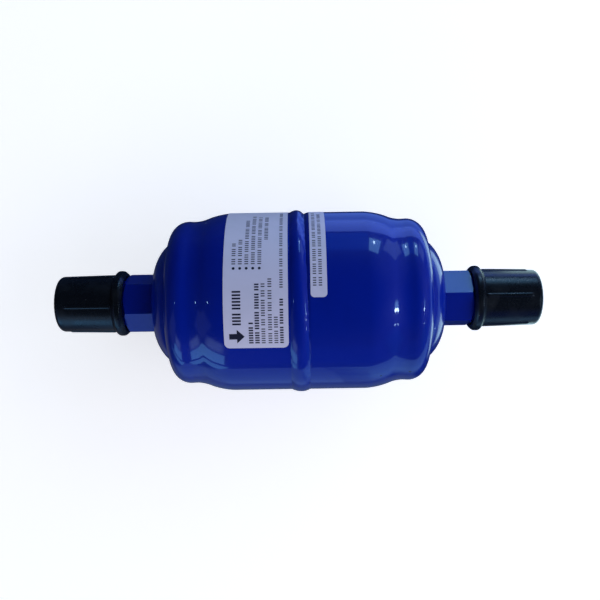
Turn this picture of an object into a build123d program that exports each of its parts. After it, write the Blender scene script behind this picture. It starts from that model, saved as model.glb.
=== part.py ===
from build123d import *
import os
from math import atan2, cos, degrees, pi, radians, sin, sqrt, tan

# Liquid-line filter drier: two drawn steel half shells lap-welded at the girth, a flare fitting
# brazed into each end, and inside them a moulded desiccant core that a conical spring pushes onto
# a perforated plate. A push-on plastic cap covers each fitting.
#
# The drier lies along X. Flow runs from the inlet at -X to the outlet at +X, and +Z is up. The
# origin is on the axis, in the middle of the girth joint. Millimetres throughout. Angles around
# the axis start at -Y and grow towards +Z.

# --- Shell ------------------------------------------------------------------------------------
shell_radius = 33.35  # outside, on the straight stretch
shell_wall = 1.5
straight_end = 24.0  # distance of the straight stretch's end from the origin
taper_length = 14.0  # along the axis, from the straight stretch to the waist
taper_crest_length = 9.0  # of the taper's convex arc, which its concave arc follows
taper_depth = 2.95  # radial drop to the waist
shoulder_length = 2.6  # from the waist to the crown of the end's shoulder
shoulder_rise = 0.1
shoulder_corner = 6.5  # outside radius of the rolled corner
face_width = 1.15  # flat of the end face, between the rolled corner and the boss
crease_fillet = 1.0
boss_height = 6.5  # from the end face to the fitting's flat land
land_margin = 0.05  # flat land outside the hexagon's corners

# --- Girth joint ------------------------------------------------------------------------------
lap_clearance = 0.05  # between the outlet half's tongue and the inlet half's mouth
tongue_length = 7.0  # beyond the origin, inside the inlet half
joggle_start = 4.2  # where the outlet half begins to step inwards
joggle_end = 0.2
mouth_x = -0.9  # rim of the inlet half
bead_left = -3.2  # toe of the weld bead on the inlet half
bead_right = 2.9  # toe of the weld bead on the joggle
bead_crown_x = 0.3
bead_height = 0.9  # crown above the straight stretch
bead_toe_drop = 0.45  # from the straight stretch to the toe on the joggle

# --- Flare fittings: 3/4-16 UNF, for half-inch tube --------------------------------------------
hex_flats = 19.05
hex_length = 11.1
hex_chamfer_angle = 30.0
hex_inset = 0.2  # radial step from the flats to the circle that the chamfer leaves
thread_radius = 9.525
thread_core = 8.6  # radius under the thread, in the relief groove and at the nose
relief_length = 2.2
nose_land = 0.25  # bare stretch between the thread's end chamfer and the nose
nose_radius = 5.7
fitting_reach = 22.3  # from the hexagon to the tip of the nose
port_radius = 5.15
port_chamfer = 0.6
shank_radius = 8.0
shank_depth = 3.6  # behind the land, through the shell's wall
shank_clearance = 0.05
braze_leg = 1.8
hexagon_turn = {"inlet": 66.0, "outlet": 98.0}  # angle of one corner

# --- Push-on caps -----------------------------------------------------------------------------
cap_clearance = 0.075  # between the cap's bore and the thread's crests
cap_mouth_radius = 10.9  # middle of the rounded lip
cap_lip = 0.35  # half thickness of the lip
cap_funnel = 2.2  # length of the lead-in
cap_bead_radius = 12.2
cap_bead_length = 4.3
cap_barrel_radius = 10.8  # at the bead; the draft takes it to the end radius
cap_end_radius = 10.4
cap_corner = 1.9
cap_headroom = 1.8  # between the nose and the cap's end wall
cap_end_wall = 1.4
rib_count = 5
rib_width = 1.2
rib_height = 0.35
rib_stop = 4.0  # bare length between the ribs and the cap's end
rib_turn = {"inlet": 81.4, "outlet": 91.8}  # angle of one rib

# --- Labels -----------------------------------------------------------------------------------
label_thickness = 0.08
main_label_span = (-25.0, -3.9)  # along the axis
main_label_arc = (58.7, 238.7)
main_label_corner = 1.9
side_label_span = (4.4, 10.0)
side_label_arc = (88.9, 197.0)
side_label_corner = 1.3

# --- Core, pads, plates and spring ------------------------------------------------------------
core_gap = 3.35  # all round the core, for the flow into its side
core_length = 50.0
core_chamfer = 1.2
core_bore_radius = 9.0  # at the open outlet end
core_bore_depth = 38.0
core_bore_draft = 4.0
core_recess_radius = 10.0
core_recess_depth = 2.0
core_recess_taper = 45.0
inlet_pad_inset = 0.5  # inside the core's radius
inlet_pad_thickness = 2.0
outlet_pad_inset = 0.85  # inside the shell's bore
outlet_pad_thickness = 3.0
screen_inset = 0.5  # inside the outlet pad's radius
screen_thickness = 0.4
plate_thickness = 1.0
plate_inset = 0.5  # inside the shell's bore
plate_lip = 2.5
plate_seat_clearance = 0.05
hole_radius = 2.5
hole_spacing = 9.0  # between the rings of holes, and between holes on a ring
spring_plate_inset = 1.5  # inside the core's radius
spring_collar_height = 1.5
spring_collar_wall = 1.0
spring_collar_gap = 0.4  # between the collar and the spring's wire
wire_radius = 1.0
spring_small_radius = 12.0
spring_turns = 3.0
spring_seat_clearance = 0.1

# --- Places that follow from the sizes --------------------------------------------------------
bore_radius = shell_radius - shell_wall
waist_x = straight_end + taper_length
waist_radius = shell_radius - taper_depth
shoulder_x = waist_x + shoulder_length
shoulder_radius = waist_radius + shoulder_rise
face_x = shoulder_x + shoulder_corner
face_radius = shoulder_radius - shoulder_corner
crease_radius = face_radius - face_width
land_x = face_x + boss_height
hex_corner = hex_flats / sqrt(3)
land_radius = hex_corner + land_margin
hex_x = land_x + hex_length
nose_x = hex_x + fitting_reach
cap_end_x = nose_x + cap_headroom + cap_end_wall
taper_crest_share = taper_crest_length / taper_length
taper_crest_depth = taper_depth * taper_crest_share
taper_crest_radius = (taper_crest_length**2 + taper_crest_depth**2) / (2 * taper_crest_depth)
tongue_radius = bore_radius - lap_clearance
core_radius = bore_radius - core_gap

os.makedirs("parts", exist_ok=True)


def save(piece, node):
    """Name a finished piece and write it."""
    piece.part.label = node
    export_step(piece.part, f"parts/{node}.step")


def ogee(start, end, share=0.5):
    """Two arcs that leave start and reach end along the axis and meet at a share of the way."""
    middle = (start[0] + share * (end[0] - start[0]), start[1] + share * (end[1] - start[1]))
    first = TangentArc(start, middle, tangent=(1, 0))
    return TangentArc(first @ 1, end, tangent=first % 1)


def ring_of_holes(ring_radius):
    """Cut a ring of holes out of the open sketch."""
    with PolarLocations(ring_radius, round(2 * pi * ring_radius / hole_spacing)):
        Circle(hole_radius, mode=Mode.SUBTRACT)


def lengthwise_plane(angle):
    """A plane through the axis: X along the drier, Y outwards at the angle."""
    turn = radians(angle)
    return Plane(origin=(0, 0, 0), x_dir=(1, 0, 0), z_dir=(0, -sin(turn), -cos(turn)))


def end_outline():
    """Outside of the shell's end, from the straight stretch to the hole for the fitting."""
    ogee((straight_end, shell_radius), (waist_x, waist_radius), taper_crest_share)
    ogee((waist_x, waist_radius), (shoulder_x, shoulder_radius))
    JernArc((shoulder_x, shoulder_radius), (1, 0), shoulder_corner, -90)
    face = Line((face_x, face_radius), (face_x, crease_radius))
    TangentArc((land_x, land_radius), (face_x, crease_radius), tangent=(0, 1))
    Line((land_x, land_radius), (land_x, shank_radius + shank_clearance))
    return face @ 1


# --- Half shells ------------------------------------------------------------------------------
with BuildPart() as inlet_shell:
    with BuildSketch(Plane.XZ):
        with BuildLine() as outside:
            Line((-mouth_x, shell_radius), (straight_end, shell_radius))
            crease = end_outline()
            fillet(outside.vertices().sort_by_distance(crease)[0], crease_fillet)
            offset(amount=shell_wall, side=Side.RIGHT)
        make_face()
    revolve(axis=Axis.X)
    mirror(about=Plane.YZ, mode=Mode.REPLACE)
save(inlet_shell, "inlet_shell")

with BuildPart() as outlet_shell:
    with BuildSketch(Plane.XZ):
        with BuildLine() as outside:
            Line((-tongue_length, tongue_radius), (joggle_end, tongue_radius))
            ogee((joggle_end, tongue_radius), (joggle_start, shell_radius))
            Line((joggle_start, shell_radius), (straight_end, shell_radius))
            crease = end_outline()
            fillet(outside.vertices().sort_by_distance(crease)[0], crease_fillet)
            offset(amount=shell_wall, side=Side.RIGHT)
        make_face()
    revolve(axis=Axis.X)
save(outlet_shell, "outlet_shell")

# --- Girth weld: fills the joggle behind the inlet half's rim, with a crown over both halves ---
with BuildPart() as girth_weld:
    with BuildSketch(Plane.XZ):
        with BuildLine():
            toe_left = (bead_left, shell_radius)
            toe_right = (bead_right, shell_radius - bead_toe_drop)
            Spline(
                toe_left,
                (bead_crown_x, shell_radius + bead_height),
                toe_right,
                tangents=((1, 0), (1, -1)),  # flush with the shell, then steep into the joggle
            )
            Polyline(
                toe_right,
                (joggle_end, tongue_radius),
                (mouth_x, tongue_radius),
                (mouth_x, shell_radius),
                toe_left,
            )
        make_face()
    revolve(axis=Axis.X)
    add(outlet_shell.part, mode=Mode.SUBTRACT)
save(girth_weld, "girth_weld")

# --- Flare fittings: turned, then given their flats --------------------------------------------
hex_end_radius = hex_flats / 2 - hex_inset
blank_radius = 2 * hex_corner  # cleared outside the flats
hex_chamfer_length = (hex_corner - hex_end_radius) * tan(radians(hex_chamfer_angle))
thread_start = hex_x + relief_length
nose_base_x = nose_x - (thread_core - nose_radius)  # the nose is a 45 degree cone
thread_end = nose_base_x - nose_land - (thread_radius - thread_core)
shank_x = land_x - shank_depth

for end in ("inlet", "outlet"):
    with BuildPart() as fitting:
        with BuildSketch(Plane.XZ):
            with BuildLine():
                Polyline(
                    (shank_x, port_radius + port_chamfer),
                    (shank_x, shank_radius),
                    (land_x, shank_radius),
                    (land_x, hex_corner),
                    (hex_x - hex_chamfer_length, hex_corner),
                    (hex_x, hex_end_radius),
                    (hex_x, thread_core),
                    (thread_start, thread_core),
                    (thread_start + thread_radius - thread_core, thread_radius),
                    (thread_end, thread_radius),
                    (thread_end + thread_radius - thread_core, thread_core),
                    (nose_base_x, thread_core),
                    (nose_x, nose_radius),
                    (nose_x, port_radius),
                    (shank_x + port_chamfer, port_radius),
                    close=True,
                )
            make_face()
        revolve(axis=Axis.X)
        with BuildSketch(Plane.YZ.offset(land_x)):
            Circle(blank_radius)
            with Locations(Rotation(0, 0, 180 - hexagon_turn[end])):
                RegularPolygon(hex_flats / 2, 6, major_radius=False, mode=Mode.SUBTRACT)
        extrude(amount=hex_length, mode=Mode.SUBTRACT)
        if end == "inlet":
            mirror(about=Plane.YZ, mode=Mode.REPLACE)
    save(fitting, f"{end}_fitting")

# --- Braze rings: a fillet between each fitting's shank and the inside of the shell -------------
seat_x = land_x - shell_wall
for end in ("inlet", "outlet"):
    with BuildPart() as braze_ring:
        with BuildSketch(Plane.XZ):
            with BuildLine():
                corner = (seat_x, shank_radius)
                along = (seat_x - braze_leg, shank_radius)
                outward = (seat_x, shank_radius + braze_leg)
                Line(corner, along)
                Line(corner, outward)
                RadiusArc(along, outward, -braze_leg)
            make_face()
        revolve(axis=Axis.X)
        if end == "inlet":
            mirror(about=Plane.YZ, mode=Mode.REPLACE)
    save(braze_ring, f"{end}_braze_ring")

# --- Push-on caps -----------------------------------------------------------------------------
cap_bore = thread_radius + cap_clearance
bead_start_x = hex_x + cap_lip
bead_end_x = hex_x + cap_bead_length
barrel_end_x = cap_end_x - cap_corner
ribs_end_x = cap_end_x - rib_stop
draft = (cap_barrel_radius - cap_end_radius) / (cap_end_x - bead_end_x)
ribs_end_radius = cap_barrel_radius - draft * (ribs_end_x - bead_end_x)

for end in ("inlet", "outlet"):
    with BuildPart() as cap:
        with BuildSketch(Plane.XZ):
            with BuildLine():
                lip_outside = (bead_start_x, cap_mouth_radius + cap_lip)
                lip_inside = (bead_start_x, cap_mouth_radius - cap_lip)
                bead_end = (bead_end_x, cap_barrel_radius)
                barrel_end = (barrel_end_x, cap_end_radius + draft * cap_corner)
                ThreePointArc(lip_inside, (hex_x, cap_mouth_radius), lip_outside)
                ThreePointArc(
                    lip_outside,
                    ((bead_start_x + bead_end_x) / 2, cap_bead_radius),
                    bead_end,
                )
                barrel = Line(bead_end, barrel_end)
                TangentArc(
                    (cap_end_x, barrel_end[1] - cap_corner), barrel_end, tangent=(0, 1)
                )
                Polyline(
                    (cap_end_x, barrel_end[1] - cap_corner),
                    (cap_end_x, 0),
                    (nose_x + cap_headroom, 0),
                    (nose_x + cap_headroom, cap_bore),
                    (hex_x + cap_funnel, cap_bore),
                    lip_inside,
                )
            make_face()
        revolve(axis=Axis.X)
        for turn in range(rib_count):
            with BuildSketch(lengthwise_plane(rib_turn[end] + 360 * turn / rib_count)):
                Polygon(
                    (bead_end_x - rib_height, cap_bore + rib_height),
                    (bead_end_x - rib_height, cap_barrel_radius + rib_height),
                    (ribs_end_x - rib_height, ribs_end_radius + rib_height),
                    (ribs_end_x, ribs_end_radius),
                    (ribs_end_x, cap_bore + rib_height),
                    align=None,
                )
            extrude(amount=rib_width / 2, both=True)
        if end == "inlet":
            mirror(about=Plane.YZ, mode=Mode.REPLACE)
    save(cap, f"{end}_cap")

# --- Labels: stuck on the straight stretch of each half ------------------------------------------
for node, span, arc, corner_size in (
    ("main_label", main_label_span, main_label_arc, main_label_corner),
    ("side_label", side_label_span, side_label_arc, side_label_corner),
):
    with BuildPart() as label:
        with BuildSketch(lengthwise_plane(arc[1])):
            with Locations((span[0], shell_radius)):
                Rectangle(span[1] - span[0], label_thickness, align=(Align.MIN, Align.MIN))
        revolve(axis=Axis.X, revolution_arc=arc[1] - arc[0])
        corners = label.edges().filter_by(lambda edge: edge.length < 2 * label_thickness)
        fillet(corners, corner_size)
    save(label, node)

# --- Outlet side of the core: plate, screen and pad ----------------------------------------------
plate_radius = bore_radius - plate_inset
taper_centre_radius = shell_radius - taper_crest_radius
inside_taper_radius = taper_crest_radius - shell_wall
lip_reach = plate_radius + plate_seat_clearance - taper_centre_radius
plate_seat_x = straight_end + sqrt(inside_taper_radius**2 - lip_reach**2)
plate_x = plate_seat_x - plate_lip
screen_x = plate_x - screen_thickness
outlet_pad_x = screen_x - outlet_pad_thickness
outlet_pad_radius = bore_radius - outlet_pad_inset

with BuildPart() as outlet_plate:
    with BuildSketch(Plane.YZ.offset(plate_x)):
        Circle(plate_radius)
        Circle(hole_radius, mode=Mode.SUBTRACT)
        ring_of_holes(hole_spacing)
        ring_of_holes(2 * hole_spacing)
    extrude(amount=plate_thickness)
    with BuildSketch(Plane.YZ.offset(plate_x)):
        Circle(plate_radius)
        Circle(plate_radius - plate_thickness, mode=Mode.SUBTRACT)
    extrude(amount=plate_lip)
save(outlet_plate, "outlet_plate")

with BuildPart() as outlet_screen:
    with BuildSketch(Plane.YZ.offset(screen_x)):
        Circle(outlet_pad_radius - screen_inset)
    extrude(amount=screen_thickness)
save(outlet_screen, "outlet_screen")

with BuildPart() as outlet_pad:
    with BuildSketch(Plane.YZ.offset(outlet_pad_x)):
        Circle(outlet_pad_radius)
    extrude(amount=outlet_pad_thickness)
save(outlet_pad, "outlet_pad")

# --- Core: a moulded block with a tapered blind bore that is open towards the outlet --------------
core_end_x = outlet_pad_x
core_x = core_end_x - core_length
core_tip_radius = core_bore_radius - core_bore_depth * tan(radians(core_bore_draft))
core_tip_x = core_end_x - core_bore_depth

with BuildPart() as desiccant_core:
    with BuildSketch(Plane.YZ.offset(core_x)):
        Circle(core_radius)
    extrude(amount=core_length)
    rims = desiccant_core.edges().filter_by(GeomType.CIRCLE)
    chamfer(rims, core_chamfer)
    with BuildSketch(Plane.XZ):
        with BuildLine():
            Polyline(
                (core_tip_x - core_tip_radius, 0),
                (core_end_x, 0),
                (core_end_x, core_bore_radius),
                (core_tip_x, core_tip_radius),
            )
            TangentArc(
                (core_tip_x - core_tip_radius, 0), (core_tip_x, core_tip_radius), tangent=(0, 1)
            )
        make_face()
    revolve(axis=Axis.X, mode=Mode.SUBTRACT)
    with BuildSketch(Plane.YZ.offset(core_x)):
        Circle(core_recess_radius)
    extrude(amount=core_recess_depth, taper=core_recess_taper, mode=Mode.SUBTRACT)
save(desiccant_core, "desiccant_core")

# --- Inlet side of the core: pad, spring plate and conical spring ----------------------------------
inlet_pad_x = core_x - inlet_pad_thickness
spring_plate_x = inlet_pad_x - plate_thickness
spring_seat_x = -(face_x - shell_wall - spring_seat_clearance)
spring_length = spring_plate_x - spring_seat_x
crease_flat = (face_radius + crease_radius) / 2  # the spring's wide end sits beside the crease
spring_spread = degrees(atan2(crease_flat - spring_small_radius, spring_length))
spring_pitch = spring_length / spring_turns / cos(radians(spring_spread))  # along the cone
collar_radius = spring_small_radius - wire_radius - spring_collar_gap

with BuildPart() as inlet_pad:
    with BuildSketch(Plane.YZ.offset(inlet_pad_x)):
        Circle(core_radius - inlet_pad_inset)
    extrude(amount=inlet_pad_thickness)
save(inlet_pad, "inlet_pad")

with BuildPart() as spring_plate:
    with BuildSketch(Plane.YZ.offset(spring_plate_x)):
        Circle(core_radius - spring_plate_inset)
        Circle(hole_radius, mode=Mode.SUBTRACT)
        ring_of_holes(spring_small_radius + hole_spacing)
    extrude(amount=plate_thickness)
    with BuildSketch(Plane.YZ.offset(spring_plate_x - spring_collar_height)):
        Circle(collar_radius)
        Circle(collar_radius - spring_collar_wall, mode=Mode.SUBTRACT)
    extrude(amount=spring_collar_height)
save(spring_plate, "spring_plate")

with BuildPart() as core_spring:
    with BuildLine() as coil:
        Helix(
            spring_pitch,
            spring_length,
            spring_small_radius,
            center=(spring_plate_x, 0, 0),
            direction=(-1, 0, 0),
            cone_angle=spring_spread,
        )
    with BuildSketch(Plane(origin=coil.line @ 0, z_dir=coil.line % 0)):
        Circle(wire_radius)
    sweep(path=coil.line, is_frenet=True)
    split(bisect_by=Plane.YZ.offset(spring_plate_x), keep=Keep.BOTTOM)
    split(bisect_by=Plane.YZ.offset(spring_seat_x), keep=Keep.TOP)
save(core_spring, "core_spring")
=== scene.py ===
"""Looks of a liquid-line filter drier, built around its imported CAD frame.

The drier lies along X with its inlet at -X. Turned forms are modelled in millimetres and published in
metres. Angles around the axis start at -Y and grow towards +Z. Each piece for the inlet end is made for
the outlet end and turned half a turn about Z, which keeps the hand of its thread.
"""

import logging
import math
import random
from dataclasses import dataclass, field
from enum import Enum
from typing import Callable, Optional, Sequence

import bmesh
import bpy
from mathutils import Matrix, Vector, noise


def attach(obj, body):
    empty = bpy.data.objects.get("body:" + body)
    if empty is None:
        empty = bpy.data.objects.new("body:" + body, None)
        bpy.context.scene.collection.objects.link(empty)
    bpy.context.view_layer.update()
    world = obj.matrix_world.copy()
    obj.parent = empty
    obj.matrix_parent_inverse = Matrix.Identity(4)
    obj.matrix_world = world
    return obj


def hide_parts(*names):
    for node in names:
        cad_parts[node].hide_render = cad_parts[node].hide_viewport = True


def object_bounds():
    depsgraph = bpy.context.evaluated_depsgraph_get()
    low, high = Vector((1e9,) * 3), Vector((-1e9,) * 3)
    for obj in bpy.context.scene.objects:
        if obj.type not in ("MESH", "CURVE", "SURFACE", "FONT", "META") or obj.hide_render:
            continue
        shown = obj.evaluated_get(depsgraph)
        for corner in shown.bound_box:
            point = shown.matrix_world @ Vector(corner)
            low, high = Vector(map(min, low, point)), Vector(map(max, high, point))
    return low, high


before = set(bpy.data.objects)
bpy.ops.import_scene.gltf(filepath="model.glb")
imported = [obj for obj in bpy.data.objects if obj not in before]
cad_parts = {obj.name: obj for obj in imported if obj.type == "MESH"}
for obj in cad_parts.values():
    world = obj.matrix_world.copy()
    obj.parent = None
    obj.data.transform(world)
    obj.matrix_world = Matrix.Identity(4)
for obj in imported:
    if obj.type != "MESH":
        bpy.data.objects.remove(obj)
cad_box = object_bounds()

LOG = logging.getLogger("filter_drier")
MM = 0.001
BODY = "drier"
SECTORS = 12
COARSEST_TURN = 7.0
Pair = tuple[float, float]
Colour = tuple[float, float, float]
BMesh = bmesh.types.BMesh
Material = bpy.types.Material
Socket = bpy.types.NodeSocket


class End(Enum):
    """The two ends of the drier."""

    INLET = "inlet"
    OUTLET = "outlet"

    def model_angle(self, angle: float) -> float:
        """Angle at which a feature is modelled, so that it stands at the given angle on this end."""
        return 180.0 - angle if self is End.INLET else angle


class Strokes(Enum):
    """Weight of a printed line: width of an upright bar and distance to the next one, in millimetres."""

    REGULAR = (0.36, 0.84)
    BOLD = (0.52, 0.9)
    TALL = (0.6, 1.12)


# --- Mesh tools ---------------------------------------------------------------------------------


@dataclass(frozen=True)
class Corner:
    """One corner of a turned outline, in millimetres, with the radius that rounds it."""

    x: float
    r: float
    fillet: float = 0.0


def ring_point(x: float, radius: float, angle: float) -> Vector:
    """The point at a distance along the axis, a radius and an angle in degrees."""
    turn = math.radians(angle)
    return Vector((x, -radius * math.cos(turn), radius * math.sin(turn)))


def radius_of(point: Vector) -> float:
    """Distance of a point from the axis."""
    return math.hypot(point.y, point.z)


def angle_of(point: Vector) -> float:
    """Angle of a point around the axis, in degrees."""
    return math.degrees(math.atan2(point.z, -point.y))


def everything(bm: BMesh) -> list:
    """Every vertex, edge and face of a mesh."""
    return bm.verts[:] + bm.edges[:] + bm.faces[:]


def ogee(start: Pair, end: Pair, share: float = 0.5) -> list[Corner]:
    """Two corners whose fillets are arcs that leave start and reach end along the axis.

    Args:
        start: Place along the axis and radius where the first arc begins.
        end: Place along the axis and radius where the second arc ends.
        share: The first arc's share of the way.

    Returns:
        The two rounded corners between start and end.
    """
    length, step = end[0] - start[0], abs(end[1] - start[1])
    fillet = (length**2 + step**2) / (2 * step)
    reach = (length**2 + step**2) / (2 * length)
    return [
        Corner(start[0] + share * reach, start[1], share * fillet),
        Corner(end[0] - (1 - share) * reach, end[1], (1 - share) * fillet),
    ]


def round_off(bm: BMesh, geom: list, offset: float, segments: int, affect: str, clamp: bool) -> None:
    """Round edges or vertices with an arc.

    Args:
        bm: The mesh.
        geom: The edges or vertices.
        offset: Where the arc starts, measured from the edge or vertex.
        segments: Steps of the arc.
        affect: EDGES or VERTICES.
        clamp: Whether the arcs stop before they overlap.
    """
    bmesh.ops.bevel(
        bm, geom=geom, offset=offset, offset_type="OFFSET", segments=segments, profile=0.5, affect=affect,
        clamp_overlap=clamp, material=-1,
    )


def draw_outline(bm: BMesh, corners: Sequence[Corner], closed: bool, angle: float, finest: float) -> None:
    """Draw a turned outline as a wire with its corners rounded and its long edges divided.

    Args:
        bm: The mesh that takes the wire.
        corners: The outline's corners in order.
        closed: Whether the last corner joins the first.
        angle: Angle of the plane that the wire is drawn in.
        finest: Longest edge to leave on the wire.
    """
    verts = [bm.verts.new(ring_point(c.x, c.r, angle)) for c in corners]
    for first, second in zip(verts, verts[1:] + (verts[:1] if closed else [])):
        bm.edges.new((first, second))
    for vert, corner in zip(verts, corners):
        if corner.fillet:
            arms = [edge.other_vert(vert).co - vert.co for edge in vert.link_edges]
            turn = math.pi - arms[0].angle(arms[1])
            steps = max(turn / math.radians(COARSEST_TURN), corner.fillet * turn / finest)
            offset = corner.fillet * math.tan(turn / 2)
            round_off(bm, [vert], offset, max(2, math.ceil(steps)), "VERTICES", clamp=False)
    bmesh.ops.remove_doubles(bm, verts=bm.verts[:], dist=0.005)
    for edge in bm.edges[:]:
        cuts = math.ceil(edge.calc_length() / finest) - 1
        if cuts > 0:
            bmesh.ops.subdivide_edges(bm, edges=[edge], cuts=cuts)


def spin_outline(bm: BMesh, steps: int, pitch: float = 0.0) -> None:
    """Spin a mesh's wire one full turn about the axis: one sector first, which is then copied round.

    Args:
        bm: The mesh that holds the wire.
        steps: Steps in the full turn, a multiple of the number of sectors.
        pitch: Rise along the axis in the full turn.
    """
    sector, copies = (1 / SECTORS, steps // SECTORS, False), (1 - 1 / SECTORS, SECTORS - 1, True)
    for share, count, duplicate in (sector, copies):
        bmesh.ops.spin(
            bm, geom=everything(bm), cent=(0, 0, 0), axis=(1, 0, 0), dvec=(pitch * share / count, 0, 0),
            angle=math.tau * share, steps=count, use_merge=False, use_duplicate=duplicate,
        )
    bmesh.ops.remove_doubles(bm, verts=bm.verts[:], dist=0.002)


def turned(
    corners: Sequence[Corner], steps: int, closed: bool = True, angle: float = 90.0, finest: float = 0.8
) -> BMesh:
    """A turned form.

    Args:
        corners: The outline's corners in order.
        steps: Steps in the full turn.
        closed: Whether the outline is closed.
        angle: Angle of one row of vertices.
        finest: Longest edge along the outline.

    Returns:
        The spun mesh, in millimetres, for the outlet end.
    """
    bm = bmesh.new()
    draw_outline(bm, corners, closed, angle, finest)
    spin_outline(bm, steps)
    bmesh.ops.recalc_face_normals(bm, faces=bm.faces[:])
    return bm


def publish(
    bm: BMesh,
    name: str,
    materials: Sequence[Material],
    body: str,
    node: Optional[str] = None,
    end: End = End.OUTLET,
    sharp_from: float = 40.0,
) -> bpy.types.Object:
    """Turn a mesh in millimetres into a finished piece that rides on its body.

    Args:
        bm: The mesh, which is freed.
        name: The piece's name.
        materials: The piece's material slots in order.
        body: The body that the piece rides on.
        node: The CAD node that the piece stands for.
        end: The end of the drier that the piece belongs to.
        sharp_from: Angle between faces, in degrees, from which an edge stays sharp.

    Returns:
        The piece's object.
    """
    if end is End.INLET:
        bmesh.ops.rotate(bm, verts=bm.verts[:], cent=(0, 0, 0), matrix=Matrix.Rotation(math.pi, 3, "Z"))
    bmesh.ops.scale(bm, verts=bm.verts[:], vec=(MM, MM, MM))
    for face in bm.faces:
        face.smooth = True
    for edge in bm.edges:
        edge.smooth = len(edge.link_faces) != 2 or edge.calc_face_angle() < math.radians(sharp_from)
    mesh = bpy.data.meshes.new(name)
    bm.to_mesh(mesh)
    bm.free()
    piece = bpy.data.objects.new(name, mesh)
    bpy.context.scene.collection.objects.link(piece)
    for material in materials:
        mesh.materials.append(material)
    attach(piece, body)
    if node:
        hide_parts(node)
    LOG.info("%s: %d faces", name, len(mesh.polygons))
    return piece


# --- Shader tools -------------------------------------------------------------------------------


class Canvas:
    """A node tree with short ways to add nodes and join them."""

    def __init__(self, tree: bpy.types.NodeTree) -> None:
        """Hold the tree."""
        self.tree = tree

    def node(self, kind: str, **settings: object) -> bpy.types.Node:
        """Add a node, with its attributes, or its inputs where a name is one of them, set.

        Args:
            kind: The node's type without its Shader prefix.
            **settings: Attribute or input names and their values.

        Returns:
            The node.
        """
        made = self.tree.nodes.new(kind if kind.startswith("NodeGroup") else f"ShaderNode{kind}")
        for name, value in settings.items():
            if hasattr(made, name):
                setattr(made, name, value)
            else:
                made.inputs[name.replace("_", " ")].default_value = value
        return made

    def join(self, source: Socket, target: Socket) -> None:
        """Join an output to an input."""
        self.tree.links.new(source, target)

    def result(self, operation: str, first: object, second: object = 0.0) -> Socket:
        """A math node's result.

        Args:
            operation: The node's operation.
            first: A socket or a number.
            second: A socket or a number.

        Returns:
            The node's output.
        """
        made = self.node("Math", operation=operation)
        for socket, value in zip(made.inputs, (first, second)):
            if isinstance(value, Socket):
                self.join(value, socket)
            else:
                socket.default_value = value
        return made.outputs[0]

    def ramp(self, value: Socket, low: float, high: float) -> Socket:
        """A mask that grows smoothly from 0 at low to 1 at high, or falls where low is the larger."""
        made = self.node("MapRange", interpolation_type="SMOOTHSTEP")
        made.inputs["From Min"].default_value = min(low, high)
        made.inputs["From Max"].default_value = max(low, high)
        made.inputs["To Min"].default_value = float(low > high)
        made.inputs["To Max"].default_value = float(low < high)
        self.join(value, made.inputs["Value"])
        return made.outputs["Result"]

    def blend(self, mask: Socket, first: object, second: object, colour: bool = True) -> Socket:
        """Mix two colours, or two numbers, by a mask.

        Args:
            mask: 0 gives the first and 1 the second.
            first: A socket, a colour or a number.
            second: A socket, a colour or a number.
            colour: Whether colours are mixed.

        Returns:
            The mixed value.
        """
        made = self.node("Mix", data_type="RGBA" if colour else "FLOAT")
        sockets = [s for s in made.inputs if s.enabled]
        self.join(mask, sockets[0])
        for socket, value in zip(sockets[1:], (first, second)):
            if isinstance(value, Socket):
                self.join(value, socket)
            else:
                socket.default_value = (*value, 1.0) if colour else value
        return next(s for s in made.outputs if s.enabled)


def effect(name: str, inputs: dict[str, object], output: tuple[str, str], fill: Callable) -> str:
    """Build a shared effect as a node group.

    Args:
        name: The group's name.
        inputs: Socket names with their default numbers, or None for a vector.
        output: The output's name and socket type.
        fill: A function of the canvas and the group's inputs that returns the output's source.

    Returns:
        The group's name.
    """
    tree = bpy.data.node_groups.new(name, "ShaderNodeTree")
    for label, value in inputs.items():
        kind = "NodeSocketVector" if value is None else "NodeSocketFloat"
        socket = tree.interface.new_socket(name=label, in_out="INPUT", socket_type=kind)
        if value is not None:
            socket.default_value = value
    tree.interface.new_socket(name=output[0], in_out="OUTPUT", socket_type=output[1])
    canvas = Canvas(tree)
    entry, leave = canvas.node("NodeGroupInput"), canvas.node("NodeGroupOutput")
    canvas.join(fill(canvas, entry.outputs), leave.inputs[0])
    return name


def fill_grain(canvas: Canvas, given: bpy.types.bpy_prop_collection) -> Socket:
    """Soft unevenness of a surface: noise at one scale, as a bump."""
    waves = canvas.node("TexNoise", Detail=2.0, Roughness=0.5)
    canvas.join(given["Vector"], waves.inputs["Vector"])
    canvas.join(given["Scale"], waves.inputs["Scale"])
    bump = canvas.node("Bump", Distance=1.0)
    depth = canvas.result("MULTIPLY", waves.outputs[0], given["Depth"])
    canvas.join(depth, bump.inputs["Height"])
    return bump.outputs["Normal"]


def fill_specks(canvas: Canvas, given: bpy.types.bpy_prop_collection) -> Socket:
    """Scattered specks: a dot in some of the cells of a cell pattern."""
    cells = canvas.node("TexVoronoi", Randomness=1.0)
    canvas.join(given["Vector"], cells.inputs["Vector"])
    canvas.join(given["Scale"], cells.inputs["Scale"])
    channels = canvas.node("SeparateColor")
    canvas.join(cells.outputs["Color"], channels.inputs[0])
    size = canvas.result("MULTIPLY", channels.outputs[1], given["Size"])
    dot = canvas.result("LESS_THAN", cells.outputs["Distance"], size)
    chosen = canvas.result("LESS_THAN", channels.outputs[0], given["Share"])
    return canvas.result("MULTIPLY", dot, chosen)


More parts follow.
